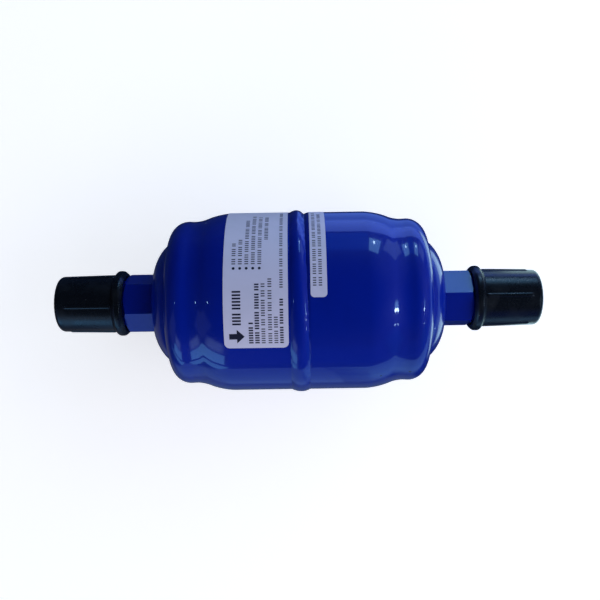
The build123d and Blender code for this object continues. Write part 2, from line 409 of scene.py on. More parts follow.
def fill_smudge(canvas: Canvas, given: bpy.types.bpy_prop_collection) -> Socket:
    """Broad soft patches, as left by hands and wiping."""
    patches = canvas.node("TexNoise", Detail=4.0, Roughness=0.6, Distortion=0.4)
    canvas.join(given["Vector"], patches.inputs["Vector"])
    canvas.join(given["Scale"], patches.inputs["Scale"])
    return canvas.ramp(patches.outputs[0], 0.45, 0.72)


class Effects:
    """The effects that several finishes share."""

    def __init__(self) -> None:
        """Build each group once."""
        mask = ("Mask", "NodeSocketFloat")
        bump = {"Vector": None, "Scale": 200.0, "Depth": 0.00001}
        self.grain = effect("surface_grain", bump, ("Normal", "NodeSocketVector"), fill_grain)
        dots = {"Vector": None, "Scale": 200.0, "Size": 0.1, "Share": 0.1}
        self.specks = effect("specks", dots, mask, fill_specks)
        self.smudge = effect("smudge", {"Vector": None, "Scale": 30.0}, mask, fill_smudge)

    def place(self, canvas: Canvas, group: str, where: Socket, **values: float) -> Socket:
        """Place an effect in a material.

        Args:
            canvas: The material's canvas.
            group: The effect's name.
            where: The vector that it follows.
            **values: The effect's numbers.

        Returns:
            The effect's output.
        """
        made = canvas.node("Group", node_tree=bpy.data.node_groups[group])
        canvas.join(where, made.inputs["Vector"])
        for name, value in values.items():
            made.inputs[name].default_value = value
        return made.outputs[0]


@dataclass(frozen=True)
class Draft:
    """A material in the making: its canvas, its shader node and the object coordinates."""

    material: Material
    canvas: Canvas
    shader: bpy.types.Node
    where: Socket


@dataclass(frozen=True)
class Finish:
    """A finish: its name and the numbers that are the same all over the surface."""

    name: str
    base: Colour
    roughness: float
    metallic: float = 0.0
    coat: float = 0.0
    coat_roughness: float = 0.03
    specular: float = 0.5
    sheen: float = 0.0

    def start(self) -> Draft:
        """Begin the material with its uniform numbers."""
        material = bpy.data.materials.new(self.name)
        material.use_nodes = True
        canvas = Canvas(material.node_tree)
        shader = material.node_tree.nodes["Principled BSDF"]
        numbers = {
            "Roughness": self.roughness,
            "Metallic": self.metallic,
            "Coat Weight": self.coat,
            "Coat Roughness": self.coat_roughness,
            "Specular IOR Level": self.specular,
            "Sheen Weight": self.sheen,
        }
        for label, value in numbers.items():
            shader.inputs[label].default_value = value
        shader.inputs["Base Color"].default_value = (*self.base, 1.0)
        return Draft(material, canvas, shader, canvas.node("TexCoord").outputs["Object"])

    def join_up(
        self, effects: Effects, draft: Draft, cloud: Socket, colour: Socket,
        rougher: float, scale: float, depth: float,
    ) -> Material:
        """Join the colour, a roughness that grows in a cloud's patches, and the grain.

        Args:
            effects: The shared effects.
            draft: The material in the making.
            cloud: The mask of the patches.
            colour: The colour.
            rougher: How much rougher the patches are.
            scale: The grain's scale.
            depth: The grain's depth.

        Returns:
            The material.
        """
        canvas = draft.canvas
        rough = canvas.blend(cloud, self.roughness, self.roughness + rougher, colour=False)
        grain = effects.place(canvas, effects.grain, draft.where, Scale=scale, Depth=depth)
        for label, source in (("Base Color", colour), ("Roughness", rough), ("Normal", grain)):
            canvas.join(source, draft.shader.inputs[label])
        return draft.material

    def build(self, effects: Effects) -> Material:
        """Make the material."""
        raise NotImplementedError


@dataclass(frozen=True)
class Chip:
    """A knock in the paint: its place on the drier and its size, in metres."""

    place: tuple[float, float, float]
    size: float


@dataclass(frozen=True)
class GlossPaint(Finish):
    """Gloss blue stoving paint with faint orange peel, dust, wiping marks and a few knocks."""

    shade: Colour = (0.0, 0.006, 0.12)
    dust: Colour = (0.25, 0.32, 0.6)
    chips: tuple[Chip, ...] = ()
    bare_from: Optional[float] = None
    metal: Colour = (0.62, 0.61, 0.57)

    def build(self, effects: Effects) -> Material:
        """Make the material; beyond bare_from along the axis it is bare plated metal."""
        draft = self.start()
        canvas, shader, where = draft.canvas, draft.shader, draft.where
        cloud = effects.place(canvas, effects.smudge, where, Scale=22.0)
        colour = canvas.blend(canvas.result("MULTIPLY", cloud, 0.25), self.base, self.shade)
        dust = effects.place(canvas, effects.specks, where, Scale=210.0, Size=0.11, Share=0.13)
        colour = canvas.blend(canvas.result("MULTIPLY", dust, 0.8), colour, self.dust)
        rough = canvas.result("MULTIPLY_ADD", cloud, 0.05)
        rough.node.inputs[2].default_value = self.roughness
        rough = canvas.blend(dust, rough, 0.6, colour=False)
        if self.chips:
            knocks = self.knocks(canvas, where)
            colour = canvas.blend(knocks, colour, (0.01, 0.012, 0.05))
            rough = canvas.blend(knocks, rough, 0.6, colour=False)
        if self.bare_from is not None:
            bare = self.bare(canvas, where)
            colour = canvas.blend(bare, colour, self.metal)
            rough = canvas.blend(bare, rough, 0.3, colour=False)
            canvas.join(bare, shader.inputs["Metallic"])
            canvas.join(canvas.result("SUBTRACT", 1.0, bare), shader.inputs["Coat Weight"])
        canvas.join(colour, shader.inputs["Base Color"])
        canvas.join(rough, shader.inputs["Roughness"])
        peel = effects.place(canvas, effects.grain, where, Scale=260.0, Depth=0.000004)
        canvas.join(peel, shader.inputs["Normal"])
        canvas.join(peel, shader.inputs["Coat Normal"])
        return draft.material

    def knocks(self, canvas: Canvas, where: Socket) -> Socket:
        """Mask of the knocks in the paint, with ragged edges."""
        ragged = canvas.node("TexNoise", Scale=1400.0, Detail=2.0)
        canvas.join(where, ragged.inputs["Vector"])
        found: object = 0.0
        for chip in self.chips:
            gap = canvas.node("VectorMath", operation="DISTANCE")
            canvas.join(where, gap.inputs[0])
            gap.inputs[1].default_value = chip.place
            edge = canvas.result("MULTIPLY", ragged.outputs[0], 2 * chip.size)
            hit = canvas.result("LESS_THAN", gap.outputs["Value"], edge)
            found = canvas.result("MAXIMUM", hit, found)
        return found

    def bare(self, canvas: Canvas, where: Socket) -> Socket:
        """Mask of the metal that the cap kept free of paint."""
        axes = canvas.node("SeparateXYZ")
        canvas.join(where, axes.inputs[0])
        wander = canvas.node("TexNoise", Scale=400.0)
        canvas.join(where, wander.inputs["Vector"])
        along = canvas.result("ABSOLUTE", axes.outputs[0])
        along = canvas.result("ADD", along, canvas.result("MULTIPLY", wander.outputs[0], 0.6 * MM))
        return canvas.ramp(along, self.bare_from, self.bare_from + 0.3 * MM)


@dataclass(frozen=True)
class CapPlastic(Finish):
    """Soft black plastic with a fine grain, scuffs and a little dust."""

    scuff: Colour = (0.012, 0.014, 0.018)

    def build(self, effects: Effects) -> Material:
        """Make the material."""
        draft = self.start()
        canvas, where = draft.canvas, draft.where
        cloud = effects.place(canvas, effects.smudge, where, Scale=120.0)
        dust = effects.place(canvas, effects.specks, where, Scale=500.0, Size=0.2, Share=0.12)
        colour = canvas.blend(canvas.result("MULTIPLY", cloud, 0.5), self.base, self.scuff)
        colour = canvas.blend(canvas.result("MULTIPLY", dust, 0.35), colour, (0.2, 0.22, 0.25))
        return self.join_up(effects, draft, cloud, colour, rougher=0.12, scale=900.0, depth=0.000012)


@dataclass(frozen=True)
class LabelStock(Finish):
    """Pale satin polyester film."""

    cast: Colour = (0.5, 0.52, 0.66)

    def build(self, effects: Effects) -> Material:
        """Make the material."""
        draft = self.start()
        canvas, where = draft.canvas, draft.where
        cloud = effects.place(canvas, effects.smudge, where, Scale=50.0)
        colour = canvas.blend(canvas.result("MULTIPLY", cloud, 0.4), self.base, self.cast)
        return self.join_up(effects, draft, cloud, colour, rougher=0.08, scale=700.0, depth=0.000002)


@dataclass(frozen=True)
class Grained(Finish):
    """A plain finish with a grain of its own scale and depth, and specks of a second colour."""

    second: Colour = (0.5, 0.5, 0.5)
    scale: float = 500.0
    depth: float = 0.00002
    speck_scale: float = 400.0
    speck_share: float = 0.3
    speck_size: float = 0.5

    def build(self, effects: Effects) -> Material:
        """Make the material."""
        draft = self.start()
        canvas, where = draft.canvas, draft.where
        size = {"Scale": self.speck_scale, "Size": self.speck_size, "Share": self.speck_share}
        specks = effects.place(canvas, effects.specks, where, **size)
        cloud = effects.place(canvas, effects.smudge, where, Scale=60.0)
        second = canvas.result("MAXIMUM", specks, canvas.result("MULTIPLY", cloud, 0.5))
        colour = canvas.blend(second, self.base, self.second)
        return self.join_up(effects, draft, cloud, colour, rougher=0.1, scale=self.scale, depth=self.depth)


@dataclass
class Finishes:
    """Every finish on the drier, as a built material."""

    effects: Effects = field(default_factory=Effects)

    def __post_init__(self) -> None:
        """Build the materials."""
        gloss = {
            "base": (0.0, 0.0125, 0.28),
            "roughness": 0.3,
            "specular": 0.15,
            "coat": 1.0,
            "coat_roughness": 0.02,
        }
        knocks = (Chip((0.0289, -0.0280, 0.0170), 0.45 * MM), Chip((0.0397, -0.0269, 0.0143), 0.5 * MM))
        make = {
            "paint": GlossPaint("gloss_blue_paint", chips=knocks, **gloss),
            "fitting": GlossPaint("gloss_blue_paint_and_bare_thread", bare_from=66.0 * MM, **gloss),
            "cap": CapPlastic("black_cap_plastic", (0.0036, 0.0055, 0.009), 0.27),
            "label": LabelStock("label_film", (0.62, 0.62, 0.8), 0.42),
            "ink": Grained("label_ink", (0.012, 0.012, 0.03), 0.5, second=(0.02, 0.02, 0.045)),
            "braze": Grained("brazing_brass", (0.7, 0.5, 0.28), 0.35, metallic=1.0, second=(0.5, 0.32, 0.16)),
            "plate": Grained("plated_steel", (0.6, 0.6, 0.58), 0.3, metallic=1.0, second=(0.5, 0.5, 0.5)),
            "screen": Grained(
                "woven_steel_wire", (0.5, 0.5, 0.5), 0.4, metallic=1.0, second=(0.12, 0.12, 0.12),
                scale=2500.0, depth=0.0001, speck_scale=2500.0, speck_share=0.6,
            ),
            "spring": Grained(
                "spring_wire", (0.32, 0.33, 0.35), 0.3, metallic=1.0, second=(0.22, 0.22, 0.24)
            ),
            "core": Grained(
                "bonded_desiccant", (0.72, 0.67, 0.57), 0.9, second=(0.52, 0.47, 0.38),
                scale=1100.0, depth=0.0003, speck_scale=900.0, speck_share=0.5,
            ),
            "pad": Grained(
                "polyester_felt", (0.8, 0.79, 0.74), 0.95, sheen=0.4, second=(0.66, 0.64, 0.58),
                scale=1600.0, depth=0.0003, speck_scale=1300.0, speck_share=0.4,
            ),
        }
        self.made = {name: finish.build(self.effects) for name, finish in make.items()}

    def __getitem__(self, name: str) -> Material:
        """The material of a finish."""
        return self.made[name]


# --- Shell --------------------------------------------------------------------------------------


@dataclass
class HalfShells:
    """The two drawn half shells, in millimetres."""

    finishes: Finishes
    radius: float = 33.35
    wall: float = 1.5
    straight_end: float = 24.1
    taper_share: float = 0.65
    waist: Pair = (38.3, 30.4)
    shoulder: Pair = (40.6, 30.5)
    corner: float = 6.5
    face_x: float = 47.1
    crease_radius: float = 22.85
    crease_fillet: float = 1.0
    land_x: float = 53.6
    land_radius: float = 11.05
    hole_radius: float = 8.05
    mouth_x: float = -0.9
    tongue_x: float = -7.0
    joggle: Pair = (0.2, 4.2)
    lap_clearance: float = 0.05
    steps: int = 192

    def end_corners(self) -> list[Corner]:
        """Outside of a shell's end, from the straight stretch to the hole for the fitting."""
        rise, run = self.crease_radius - self.land_radius, self.land_x - self.face_x
        lean = math.atan2(run, rise)
        reach = math.hypot(rise, run) / (2 * math.cos(lean))
        flare = (reach - self.crease_fillet * math.tan(lean)) / math.tan(lean)
        return [
            *ogee((self.straight_end, self.radius), self.waist, self.taper_share),
            *ogee(self.waist, self.shoulder),
            Corner(self.face_x, self.shoulder[1], self.corner),
            Corner(self.face_x, self.crease_radius, self.crease_fillet),
            Corner(self.land_x, self.land_radius + reach, flare),
            Corner(self.land_x, self.hole_radius),
        ]

    def half(self, end: End) -> list[Corner]:
        """The whole outside of one half, from its mouth or its tongue to the hole."""
        if end is End.INLET:
            return [Corner(-self.mouth_x, self.radius), *self.end_corners()]
        tongue = self.radius - self.wall - self.lap_clearance
        step = ogee((self.joggle[0], tongue), (self.joggle[1], self.radius))
        return [Corner(self.tongue_x, tongue), *step, *self.end_corners()]

    def build(self) -> None:
        """Spin each half and give it its wall."""
        for end in End:
            bm = turned(self.half(end), self.steps, closed=False)
            outermost = max(bm.faces, key=lambda face: radius_of(face.calc_center_median()))
            if outermost.normal.dot(outermost.calc_center_median()) < 0:
                bmesh.ops.reverse_faces(bm, faces=bm.faces[:])
            bmesh.ops.solidify(bm, geom=bm.faces[:], thickness=self.wall)
            node = f"{end.value}_shell"
            publish(bm, f"{node}_drawn", [self.finishes["paint"]], BODY, node, end)


@dataclass
class GirthWeld:
    """The weld bead round the lap, in millimetres, with the wander and the ripple that the torch left."""

    finishes: Finishes
    shell_radius: float = 33.35
    crown: float = 34.2
    left_toe: float = -2.95
    crown_x: float = 0.3
    crown_wander: float = 0.5
    right_toe: float = 3.15
    toe_wander: float = 0.85
    joggle: tuple[Pair, Pair] = ((0.2, 31.8), (4.2, 33.35))
    sunk: float = 0.04
    root: Pair = (-0.9, 31.82)
    steps: int = 384
    ripple: float = 0.02
    ripple_pitch: float = 1.35
    ripple_bow: float = 0.22
    waver: float = 0.05
    drift_scale: float = 0.22
    crown_drift: float = 0.25
    left_drift: Pair = (0.12, 0.7)
    right_drift: Pair = (0.15, 0.6)
    fullness: Pair = (2.2, 1.9)

    def joggle_radius(self, x: float) -> float:
        """Radius of the outlet half's joggle at a place along the axis."""
        (low_x, low), (high_x, high) = self.joggle
        arc = ((high_x - low_x) ** 2 + (high - low) ** 2) / (4 * (high - low))
        if x < (low_x + high_x) / 2:
            return low + arc - math.sqrt(arc**2 - max(0.0, x - low_x) ** 2)
        return high - arc + math.sqrt(arc**2 - max(0.0, high_x - x) ** 2)

    def surface(self, along: float, angle: float, point: Vector) -> Pair:
        """Place and radius on the bead's skin.

        Args:
            along: -1 at the left toe, 0 at the crown and 1 at the right toe.
            angle: Angle around the axis.
            point: The vertex, from which the unevenness is read.

        Returns:
            The distance along the axis and the radius.
        """
        swing = math.cos(math.radians(angle))
        drift = noise.noise(point * self.drift_scale)
        left_drift, right_drift = (
            size * noise.noise(point * scale) for size, scale in (self.left_drift, self.right_drift)
        )
        crown_x = self.crown_x + self.crown_wander * swing + self.crown_drift * drift
        right = self.right_toe + self.toe_wander * swing + right_drift
        left = self.left_toe + left_drift
        if along < 0:
            x, foot = crown_x + along * (crown_x - left), self.shell_radius - self.sunk
        else:
            x, foot = crown_x + along * (right - crown_x), self.joggle_radius(right) - self.sunk
        bulge = 1 - abs(along) ** self.fullness[along >= 0]
        around = math.radians(angle) * self.crown
        wave = self.ripple * math.cos(math.tau * (around - self.ripple_bow * x**2) / self.ripple_pitch)
        return x, foot + bulge * (self.crown - foot + self.waver * drift + wave)

    def underside(self, along: float, angle: float) -> Pair:
        """Place and radius on the bead's root, inside the lap."""
        right = self.right_toe + self.toe_wander * math.cos(math.radians(angle))
        if along > 0:
            x = self.joggle[0][0] + along * (right - self.joggle[0][0])
            return x, self.joggle_radius(x) - 2 * self.sunk
        return self.joggle[0][0] + min(1.0, -2 * along) * (self.root[0] - self.joggle[0][0]), max(
            self.root[1], self.root[1] + (-2 * along - 1) * (self.shell_radius - self.sunk - self.root[1])
        )

    def build(self) -> None:
        """Spin a band and shape it into the bead."""
        low, high = self.shell_radius - 1.0, self.shell_radius + 1.0
        band = [Corner(-1, low), Corner(1, low), Corner(1, high), Corner(-1, high)]
        bm = turned(band, self.steps, finest=0.08)
        for vert in bm.verts:
            angle, level = angle_of(vert.co), (radius_of(vert.co) - low) / (high - low)
            upper, lower = self.surface(vert.co.x, angle, vert.co), self.underside(vert.co.x, angle)
            x, radius = (level * top + (1 - level) * bottom for top, bottom in zip(upper, lower))
            vert.co = ring_point(x, radius, angle)
        publish(
            bm, "girth_weld_bead", [self.finishes["paint"]], BODY, "girth_weld", sharp_from=60
        )


# --- Fittings -----------------------------------------------------------------------------------


@dataclass
class FlareFittings:
    """The two flare fittings, in millimetres: turned, given their flats and cut with their thread."""

    finishes: Finishes
    shank: Pair = (50.0, 8.0)
    land_x: float = 53.6
    hex_x: float = 64.7
    flats: float = 19.05
    hex_end_radius: float = 9.325
    hex_chamfer: float = 30.0
    hex_edge: float = 0.22
    core: float = 8.6
    crest: float = 9.525
    relief_end: float = 66.9
    nose_base: float = 84.1
    nose: Pair = (87.0, 5.7)
    port: float = 5.15
    port_chamfer: float = 0.6
    nose_land: float = 0.25
    pitch: float = 25.4 / 16
    crest_flat: float = 0.2
    root_flat: float = 0.4
    columns_per_flat: int = 22
    hexagon_turn: dict[End, float] = field(default_factory=lambda: {End.INLET: 66.0, End.OUTLET: 98.0})

    def build(self) -> None:
        """Make both fittings."""
        for end in End:
            corner_angle = end.model_angle(self.hexagon_turn[end])
            bm = self.blank(corner_angle)
            self.mill(bm, corner_angle)
            self.soften(bm)
            self.cut_thread(bm)
            bmesh.ops.recalc_face_normals(bm, faces=bm.faces[:])
            node = f"{end.value}_fitting"
            publish(
                bm, f"{node}_turned", [self.finishes["fitting"]], BODY, node, end, sharp_from=35
            )

    def blank(self, corner_angle: float) -> BMesh:
        """The turned blank, open where the thread goes."""
        hex_corner = self.flats / math.sqrt(3)
        corners = [
            Corner(self.nose_base - 0.05, self.core),
            Corner(self.nose_base, self.core),
            Corner(*self.nose, 0.2),
            Corner(self.nose[0], self.port, 0.2),
            Corner(self.shank[0] + self.port_chamfer, self.port),
            Corner(self.shank[0], self.port + self.port_chamfer),
            Corner(*self.shank),
            Corner(self.land_x, self.shank[1]),
            Corner(self.land_x, hex_corner),
            Corner(self.hex_x - 0.2, hex_corner),
            Corner(self.hex_x, self.hex_end_radius),
            Corner(self.hex_x, self.core, 0.15),
            Corner(self.relief_end - self.pitch / 2, self.core),
        ]
        return turned(corners, 6 * self.columns_per_flat, closed=False, angle=corner_angle, finest=1.2)

    def mill(self, bm: BMesh, corner_angle: float) -> None:
        """Bring the hexagon's vertices onto its flats, and the start of its chamfer onto the cone."""
        slope = math.tan(math.radians(self.hex_chamfer))
        for vert in bm.verts:
            radius = radius_of(vert.co)
            if radius > self.hex_end_radius + 0.05 and self.land_x - 0.01 < vert.co.x < self.hex_x - 0.01:
                angle = angle_of(vert.co)
                off_flat = math.radians((angle - corner_angle) % 60 - 30)
                flat = self.flats / 2 / math.cos(off_flat)
                x = vert.co.x
                if x > self.hex_x - 0.5:
                    x = self.hex_x - (flat - self.hex_end_radius) * slope
                vert.co = ring_point(x, flat, angle)

    def soften(self, bm: BMesh) -> None:
        """Round the hexagon's edges as the paint does."""
        edges = [
            edge
            for edge in bm.edges
            if len(edge.link_faces) == 2
            and edge.calc_face_angle() > math.radians(12)
            and all(v.co.x > self.land_x + 0.01 for v in edge.verts)
            and all(v.co.x < self.hex_x + 0.01 for v in edge.verts)
            and all(radius_of(v.co) > self.hex_end_radius - 0.01 for v in edge.verts)
        ]
        round_off(bm, edges, self.hex_edge, 3, "EDGES", clamp=True)

    def cut_thread(self, bm: BMesh) -> None:
        """Add the helical thread between the relief groove and the nose."""
        start, stop = self.relief_end - self.pitch / 2, self.nose_base - 0.05
        thread = bmesh.new()
        turns = math.ceil((stop - start) / self.pitch) + 2
        flank = (self.pitch - self.crest_flat - self.root_flat) / 2
        corners = []
        for turn in range(turns):
            x = start + (turn - 2) * self.pitch
            corners += [
                Corner(x, self.core, 0.08),
                Corner(x + self.root_flat, self.core, 0.08),
                Corner(x + self.root_flat + flank, self.crest, 0.06),
                Corner(x + self.root_flat + flank + self.crest_flat, self.crest, 0.06),
            ]
        corners.append(Corner(start + (turns - 2) * self.pitch, self.core))
        corners[0] = Corner(corners[0].x, self.core)
        draw_outline(thread, corners, closed=False, angle=90.0, finest=0.3)
        spin_outline(thread, 6 * self.columns_per_flat, self.pitch)
        depth = self.crest - self.core
        for vert in thread.verts:
            x = vert.co.x
            room = min(x - self.relief_end, self.nose_base - self.nose_land - x)
            limit = self.core + min(depth, max(0.0, room))
            radius = radius_of(vert.co)
            if radius > limit:
                vert.co = ring_point(x, limit, angle_of(vert.co))
        for place, normal in ((start, -1), (stop, 1)):
            bmesh.ops.bisect_plane(
                thread, geom=everything(thread), dist=0.0005, plane_co=(place, 0, 0), plane_no=(normal, 0, 0),
                clear_outer=True,
            )
        added = bpy.data.meshes.new("thread_strip")
        thread.to_mesh(added)
        thread.free()
        bm.from_mesh(added)
        bpy.data.meshes.remove(added)
        for place in (start, stop):
            rim = [
                edge
                for edge in bm.edges
                if edge.is_boundary and all(abs(vert.co.x - place) < 0.01 for vert in edge.verts)
            ]
            bmesh.ops.bridge_loops(bm, edges=rim)


# --- Caps ---------------------------------------------------------------------------------------


@dataclass
class PushOnCaps:
    """The two push-on caps, in millimetres."""

    finishes: Finishes
    mouth_x: float = 64.7
    lip_radius: float = 10.5
    collar_radius: float = 12.3
    collar_fillet: float = 1.3
    barrel_radius: float = 10.83
    end_x: float = 90.2
    end_radius: float = 10.4
    end_corner: float = 1.9
    gate_radius: float = 1.4
    gate_depth: float = 0.25
    bore: float = 9.6
    funnel: float = 2.2
    floor_x: float = 88.8
    ribs: int = 5
    rib_width: float = 1.2
    rib_height: float = 0.35
    rib_span: Pair = (68.9, 86.2)
    steps: int = 288
    rib_turn: dict[End, float] = field(default_factory=lambda: {End.INLET: 81.4, End.OUTLET: 91.8})

    def corners(self) -> list[Corner]:
        """The cap's outline: lip, collar bead, drafted barrel, end wall with its gate mark, and bore."""
        x, gate_x = self.mouth_x, self.end_x - self.gate_depth
        return [
            Corner(x, self.lip_radius, 0.3),
            Corner(x, self.lip_radius + 0.75, 0.32),
            Corner(x + 1.15, self.collar_radius - 0.02, self.collar_fillet),
            Corner(x + 3.1, self.collar_radius, self.collar_fillet),
            Corner(x + 4.25, self.barrel_radius, 0.25),
            Corner(self.end_x, self.end_radius, self.end_corner),
            Corner(self.end_x, self.gate_radius, 0.1),
            Corner(gate_x, self.gate_radius - 0.3, 0.1),
            Corner(gate_x, 0.0),
            Corner(self.floor_x, 0.0),
            Corner(self.floor_x, self.bore, 0.6),
            Corner(x + self.funnel, self.bore, 0.8),
        ]

    def rib_rise(self, point: Vector, phase: float) -> float:
        """How far a point on the barrel is lifted by a rib."""
        spacing = 360 / self.ribs
        off = abs((angle_of(point) - phase + spacing / 2) % spacing - spacing / 2)
        side = math.radians(off) * radius_of(point)
        across = min(1.0, max(0.0, (self.rib_width / 2 + 0.1 - side) / 0.2))
        ends = (point.x - self.rib_span[0]) / 0.3, (self.rib_span[1] - point.x) / 0.4
        along = min(1.0, max(0.0, min(ends)))
        return self.rib_height * across * along

    def build(self) -> None:
        """Spin both caps and raise their ribs."""
        for end in End:
            bm = turned(self.corners(), self.steps, finest=0.4)
            phase = end.model_angle(self.rib_turn[end])
            for vert in bm.verts:
                radius = radius_of(vert.co)
                if radius > self.bore + 0.6:
                    lifted = radius + self.rib_rise(vert.co, phase)
                    vert.co = Vector((vert.co.x, vert.co.y * lifted / radius, vert.co.z * lifted / radius))
            node = f"{end.value}_cap"
            publish(
                bm, f"{node}_moulded", [self.finishes["cap"]], node, node, end, sharp_from=60
            )


# --- Labels -------------------------------------------------------------------------------------


@dataclass(frozen=True)
class Line:
    """A printed line: its place along the drier, its start and end round it, and its height."""

    along: float
    start: float
    stop: float
    height: float = 1.3
    strokes: Strokes = Strokes.REGULAR


@dataclass
class Label:
    """A label on the shell, in millimetres: film with a generic print of bars and dots."""

    finishes: Finishes
    node: str
    span: Pair
    arc: Pair
    corner: float
    lines: Sequence[Line]
    dots: Sequence[Pair] = ()
    arrow: Optional[tuple[float, float, float, float]] = None
    seed: int = 3
    shell_radius: float = 33.35
    film: float = 0.08
    ink: float = 0.02
    slice_width: float = 1.6

    def slice(self, bm: BMesh) -> None:
        """Slice a flat form across, so that it can bend."""
        low, high = min(v.co.y for v in bm.verts), max(v.co.y for v in bm.verts)
        for step in range(math.floor(low / self.slice_width) + 1, math.ceil(high / self.slice_width)):
            place = (0, step * self.slice_width, 0)
            bmesh.ops.bisect_plane(bm, geom=everything(bm), dist=0.001, plane_co=place, plane_no=(0, 1, 0))

    def bend(self, bm: BMesh, radius: float) -> None:
        """Bend a flat form round the shell at a radius."""
        for vert in bm.verts:
            angle = self.arc[0] + math.degrees(vert.co.y / self.shell_radius)
            vert.co = ring_point(vert.co.x, radius + vert.co.z, angle)

    def polygon(self, bm: BMesh, places: Sequence[Pair]) -> None:
        """Add a flat polygon."""
        bm.faces.new([bm.verts.new((x, y, 0)) for x, y in places])

    def rectangle(self, bm: BMesh, low: Pair, high: Pair) -> None:
        """Add a flat rectangle."""
        self.polygon(bm, (low, (high[0], low[1]), high, (low[0], high[1])))

    def thicken(self, bm: BMesh, depth: float) -> None:
        """Give flat faces a depth downwards."""
        bmesh.ops.recalc_face_normals(bm, faces=bm.faces[:])
        made = bmesh.ops.extrude_face_region(bm, geom=bm.faces[:], use_keep_orig=True)
        moved = [item for item in made["geom"] if isinstance(item, bmesh.types.BMVert)]
        bmesh.ops.translate(bm, verts=moved, vec=(0, 0, -depth))
        bmesh.ops.recalc_face_normals(bm, faces=bm.faces[:])

    def build(self) -> None:
        """Make the film and its print."""
        length = math.radians(self.arc[1] - self.arc[0]) * self.shell_radius
        sheet = bmesh.new()
        self.rectangle(sheet, (self.span[0], 0), (self.span[1], length))
        round_off(sheet, sheet.verts[:], self.corner, 8, "VERTICES", clamp=False)
        self.thicken(sheet, self.film)
        self.slice(sheet)
        self.bend(sheet, self.shell_radius + self.film)
        publish(sheet, f"{self.node}_film", [self.finishes["label"]], BODY, self.node)
        self.print_marks()

    def print_marks(self) -> None:
        """Print the lines, the dots and the flow arrow."""
        draw = random.Random(self.seed)
        marks = bmesh.new()
        for along, around in self.dots:
            made = bmesh.ops.create_circle(marks, cap_ends=True, segments=16, radius=0.5)
            bmesh.ops.translate(marks, verts=made["verts"], vec=(along, around, 0))
        if self.arrow:
            self.print_arrow(marks, *self.arrow)
            self.slice(marks)
        for line in self.lines:
            self.print_line(marks, line, draw)
        self.thicken(marks, self.ink)
        self.bend(marks, self.shell_radius + self.film + self.ink)
        publish(marks, f"{self.node}_print", [self.finishes["ink"]], BODY)

    def print_line(self, marks: BMesh, line: Line, draw: random.Random) -> None:
        """Print one line as words of upright bars of one height."""
        width, pitch = line.strokes.value
        place = line.start
        while place + width <= line.stop:
            for _ in range(draw.randint(3, 8)):
                if place + width <= line.stop:
                    low = (line.along - line.height / 2, place)
                    self.rectangle(marks, low, (line.along + line.height / 2, place + width))
                place += pitch
            place += 0.8 * pitch

    def print_arrow(self, marks: BMesh, left: float, right: float, low: float, high: float) -> None:
        """Print an arrow that points along the flow."""
        middle, neck = (low + high) / 2, left + 0.5 * (right - left)
        shaft = 0.2 * (high - low)
        places = (
            (left, middle - shaft), (neck, middle - shaft), (neck, low), (right, middle),
            (neck, high), (neck, middle + shaft), (left, middle + shaft),
        )
        self.polygon(marks, places)


def main_label(finishes: Finishes) -> Label:
    """The large label beside the girth weld, with its lines in the usual places."""
    rows = (-21.9, -19.7, -17.5, -15.3, -13.1)
    stops = (38.0, 40.8, 51.5, 55.6, 54.3)
    lines = [
        Line(-20.95, 8.5, 20.2, 2.9, Strokes.TALL),
        Line(-16.2, 1.8, 9.7, 1.5, Strokes.BOLD),
        Line(-14.1, 1.8, 22.8, 1.5, Strokes.BOLD),
        Line(-12.0, 1.8, 22.8),
        Line(-9.7, 1.8, 24.5),
        Line(-7.7, 1.8, 11.6),
        Line(-5.8, 1.8, 17.3, 1.2, Strokes.BOLD),
        Line(-5.8, 21.0, 60.0, 1.1),
        Line(-10.9, 39.6, 54.1),
        *(Line(along, 29.4, stop) for along, stop in zip(rows, stops)),
    ]
    return Label(
        finishes, "main_label", (-25.4, -3.5), (58.7, 238.7), 1.9, lines,
        dots=[(along, 27.9) for along in rows], arrow=(-23.6, -18.4, 1.9, 6.9),
    )


def side_label(finishes: Finishes) -> Label:
    """The narrow label on the other side of the weld."""
    lines = [Line(5.5, 3.9, 42.0, 1.15), Line(7.45, 3.9, 40.0, 1.15)]
    return Label(finishes, "side_label", (4.1, 9.7), (88.9, 197.0), 1.3, lines, seed=8)


# --- Inner pieces -------------------------------------------------------------------------------


@dataclass
class InnerPieces:
    """The pieces sealed inside the shell, which keep their CAD form."""

    finishes: Finishes
    dress: dict[str, str] = field(
        default_factory=lambda: {
            "inlet_braze_ring": "braze",
            "outlet_braze_ring": "braze",
            "desiccant_core": "core",
            "inlet_pad": "pad",
            "outlet_pad": "pad",
            "outlet_screen": "screen",
            "outlet_plate": "plate",
            "spring_plate": "plate",
            "core_spring": "spring",
        }
    )

    def build(self) -> None:
        """Give each piece its finish."""
        for node, finish in self.dress.items():
            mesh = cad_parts[node].data
            mesh.materials.clear()
            mesh.materials.append(self.finishes[finish])
            LOG.info("%s: %s", node, finish)


# --- Studio -------------------------------------------------------------------------------------


def towards(azimuth: float, elevation: float) -> Vector:
    """The direction at an azimuth, where 0 is +X and 90 is +Y, and an elevation, in degrees."""
    turn, tilt = math.radians(azimuth), math.radians(elevation)
    return Vector((math.cos(turn) * math.cos(tilt), math.sin(turn) * math.cos(tilt), math.sin(tilt)))


